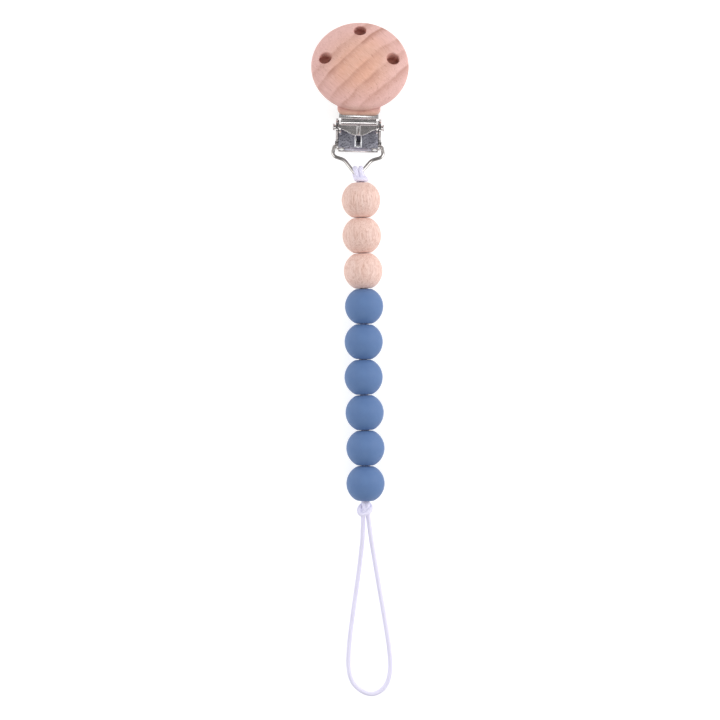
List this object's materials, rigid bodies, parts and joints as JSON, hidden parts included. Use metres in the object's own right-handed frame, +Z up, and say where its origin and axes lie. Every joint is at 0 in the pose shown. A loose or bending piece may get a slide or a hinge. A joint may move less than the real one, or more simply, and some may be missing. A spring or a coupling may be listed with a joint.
{
  "type": "pacifier clip",
  "caption": "Soother holder: domed wooden disc on a steel lever clip, wire ring, beaded doubled cord with wooden and silicone beads, and a knotted cord loop for the soother.",
  "frame": {"origin": "on the surface it lies on, under the centre of the clip and beads taken together", "axes": "+Z up out of the disc's face, +Y along the strand towards the clip, +X to the right seen from above"},
  "size_m": [0.038, 0.2637, 0.0174],
  "materials": {
    "beech_disc": "sanded, oiled",
    "beech_bead": "sanded, bare",
    "blue_silicone": "matte moulded",
    "nickel_steel": "nickel plated, lightly brushed",
    "pad_plastic": "moulded, satin",
    "white_cord": "braided"
  },
  "bodies": {
    "clip_base": {"base_plate": "nickel_steel", "hinge_pin": "nickel_steel"},
    "clip_lever": {"lever_plate": "nickel_steel", "wooden_disc": "beech_disc", "disc_screws": "nickel_steel"},
    "clip_jaw": {"front_jaw": "nickel_steel", "grip_pad": "pad_plastic"},
    "clip_ring": {"wire_ring": "nickel_steel"},
    "cord_eye": {"cord_hitch": "white_cord"},
    "link_1": {"cord_span_1": "white_cord"},
    "bead_1": {"wooden_bead_1": "beech_bead"},
    "link_2": {"cord_span_2": "white_cord"},
    "bead_2": {"wooden_bead_2": "beech_bead"},
    "link_3": {"cord_span_3": "white_cord"},
    "bead_3": {"wooden_bead_3": "beech_bead"},
    "link_4": {"cord_span_4": "white_cord"},
    "bead_4": {"silicone_bead_1": "blue_silicone"},
    "link_5": {"cord_span_5": "white_cord"},
    "bead_5": {"silicone_bead_2": "blue_silicone"},
    "link_6": {"cord_span_6": "white_cord"},
    "bead_6": {"silicone_bead_3": "blue_silicone"},
    "link_7": {"cord_span_7": "white_cord"},
    "bead_7": {"silicone_bead_4": "blue_silicone"},
    "link_8": {"cord_span_8": "white_cord"},
    "bead_8": {"silicone_bead_5": "blue_silicone"},
    "link_9": {"cord_span_9": "white_cord"},
    "bead_9": {"silicone_bead_6": "blue_silicone"},
    "cord_end": {"cord_knot": "white_cord", "cord_loop": "white_cord"}
  },
  "joints": [
    {"name": "clip_lever_hinge", "type": "hinge", "parent": "clip_base", "child": "clip_lever", "pos_m": [0, 0.05215, 0.009], "axis": [1, 0, 0], "range_deg": [0, 100]},
    {"name": "front_jaw_lift", "type": "hinge", "parent": "clip_base", "child": "clip_jaw", "pos_m": [0, 0.0452, 0.0025], "axis": [1, 0, 0], "range_deg": [0, 7]},
    {"name": "clip_ring_swivel", "type": "hinge", "parent": "clip_base", "child": "clip_ring", "pos_m": [0, 0.0452, 0.0025], "axis": [-1, 0, 0], "range_deg": [-20, 30]},
    {"name": "cord_eye_swing", "type": "hinge", "parent": "clip_ring", "child": "cord_eye", "pos_m": [0, 0.03429, 0.007], "axis": [-1, 0, 0], "range_deg": [-40, 15]},
    {"name": "neck_0_bend", "type": "hinge", "parent": "cord_eye", "child": "link_1", "pos_m": [0.0013, 0.0309, 0.00755], "axis": [0, 0, 1], "range_deg": [-3.5, 3.5]},
    {"name": "spin_bead_1", "type": "hinge", "parent": "link_1", "child": "bead_1", "pos_m": [0.00158, 0.024, 0.00755], "axis": [0.0401, -0.9992, 0], "continuous": true},
    {"name": "neck_1_bend", "type": "hinge", "parent": "link_1", "child": "link_2", "pos_m": [0.00185, 0.01709, 0.00755], "axis": [-0.9989, -0.0471, 0], "range_deg": [-3.5, 3.5]},
    {"name": "spin_bead_2", "type": "hinge", "parent": "link_2", "child": "bead_2", "pos_m": [0.00223, 0.01019, 0.00755], "axis": [0.0541, -0.9985, 0], "continuous": true},
    {"name": "neck_2_bend", "type": "hinge", "parent": "link_2", "child": "link_3", "pos_m": [0.0026, 0.00329, 0.00755], "axis": [0, 0, 1], "range_deg": [-3.5, 3.5]},
    {"name": "spin_bead_3", "type": "hinge", "parent": "link_3", "child": "bead_3", "pos_m": [0.00306, -0.0036, 0.00755], "axis": [0.0663, -0.9978, 0], "continuous": true},
    {"name": "neck_3_bend", "type": "hinge", "parent": "link_3", "child": "link_4", "pos_m": [0.00352, -0.0105, 0.00755], "axis": [-0.9988, -0.0497, 0], "range_deg": [-3.5, 3.5]},
    {"name": "spin_bead_4", "type": "hinge", "parent": "link_4", "child": "bead_4", "pos_m": [0.00375, -0.0174, 0.00755], "axis": [0.0332, -0.9995, 0], "continuous": true},
    {"name": "neck_4_bend", "type": "hinge", "parent": "link_4", "child": "link_5", "pos_m": [0.00398, -0.02431, 0.00755], "axis": [0, 0, 1], "range_deg": [-2, 3.5]},
    {"name": "spin_bead_5", "type": "hinge", "parent": "link_5", "child": "bead_5", "pos_m": [0.0039, -0.03122, 0.00755], "axis": [-0.0105, -0.9999, 0], "continuous": true},
    {"name": "neck_5_bend", "type": "hinge", "parent": "link_5", "child": "link_6", "pos_m": [0.00383, -0.03813, 0.00755], "axis": [-0.9998, -0.0201, 0], "range_deg": [-2.5, 2.5]},
    {"name": "spin_bead_6", "type": "hinge", "parent": "link_6", "child": "bead_6", "pos_m": [0.00418, -0.04503, 0.00755], "axis": [0.0506, -0.9987, 0], "continuous": true},
    {"name": "neck_6_bend", "type": "hinge", "parent": "link_6", "child": "link_7", "pos_m": [0.00453, -0.05193, 0.00755], "axis": [0, 0, 1], "range_deg": [-3.5, 3.5]},
    {"name": "spin_bead_7", "type": "hinge", "parent": "link_7", "child": "bead_7", "pos_m": [0.0049, -0.05883, 0.00755], "axis": [0.0541, -0.9985, 0], "continuous": true},
    {"name": "neck_7_bend", "type": "hinge", "parent": "link_7", "child": "link_8", "pos_m": [0.00528, -0.06573, 0.00755], "axis": [-0.999, -0.0454, 0], "range_deg": [-3.5, 3.5]},
    {"name": "spin_bead_8", "type": "hinge", "parent": "link_8", "child": "bead_8", "pos_m": [0.00553, -0.07264, 0.00755], "axis": [0.0366, -0.9993, 0], "continuous": true},
    {"name": "neck_8_bend", "type": "hinge", "parent": "link_8", "child": "link_9", "pos_m": [0.00578, -0.07954, 0.00755], "axis": [0, 0, 1], "range_deg": [-3.5, 3.5]},
    {"name": "spin_bead_9", "type": "hinge", "parent": "link_9", "child": "bead_9", "pos_m": [0.00588, -0.08645, 0.00755], "axis": [0.014, -0.9999, 0], "continuous": true},
    {"name": "cord_loop_bend", "type": "hinge", "parent": "link_9", "child": "cord_end", "pos_m": [0.00598, -0.09336, 0.00755], "axis": [0, 0, 1], "range_deg": [-3.5, 3.5]}
  ],
  "couplings": [
    {"joint": "front_jaw_lift", "follows": "clip_lever_hinge", "ratio": 0.07}
  ]
}
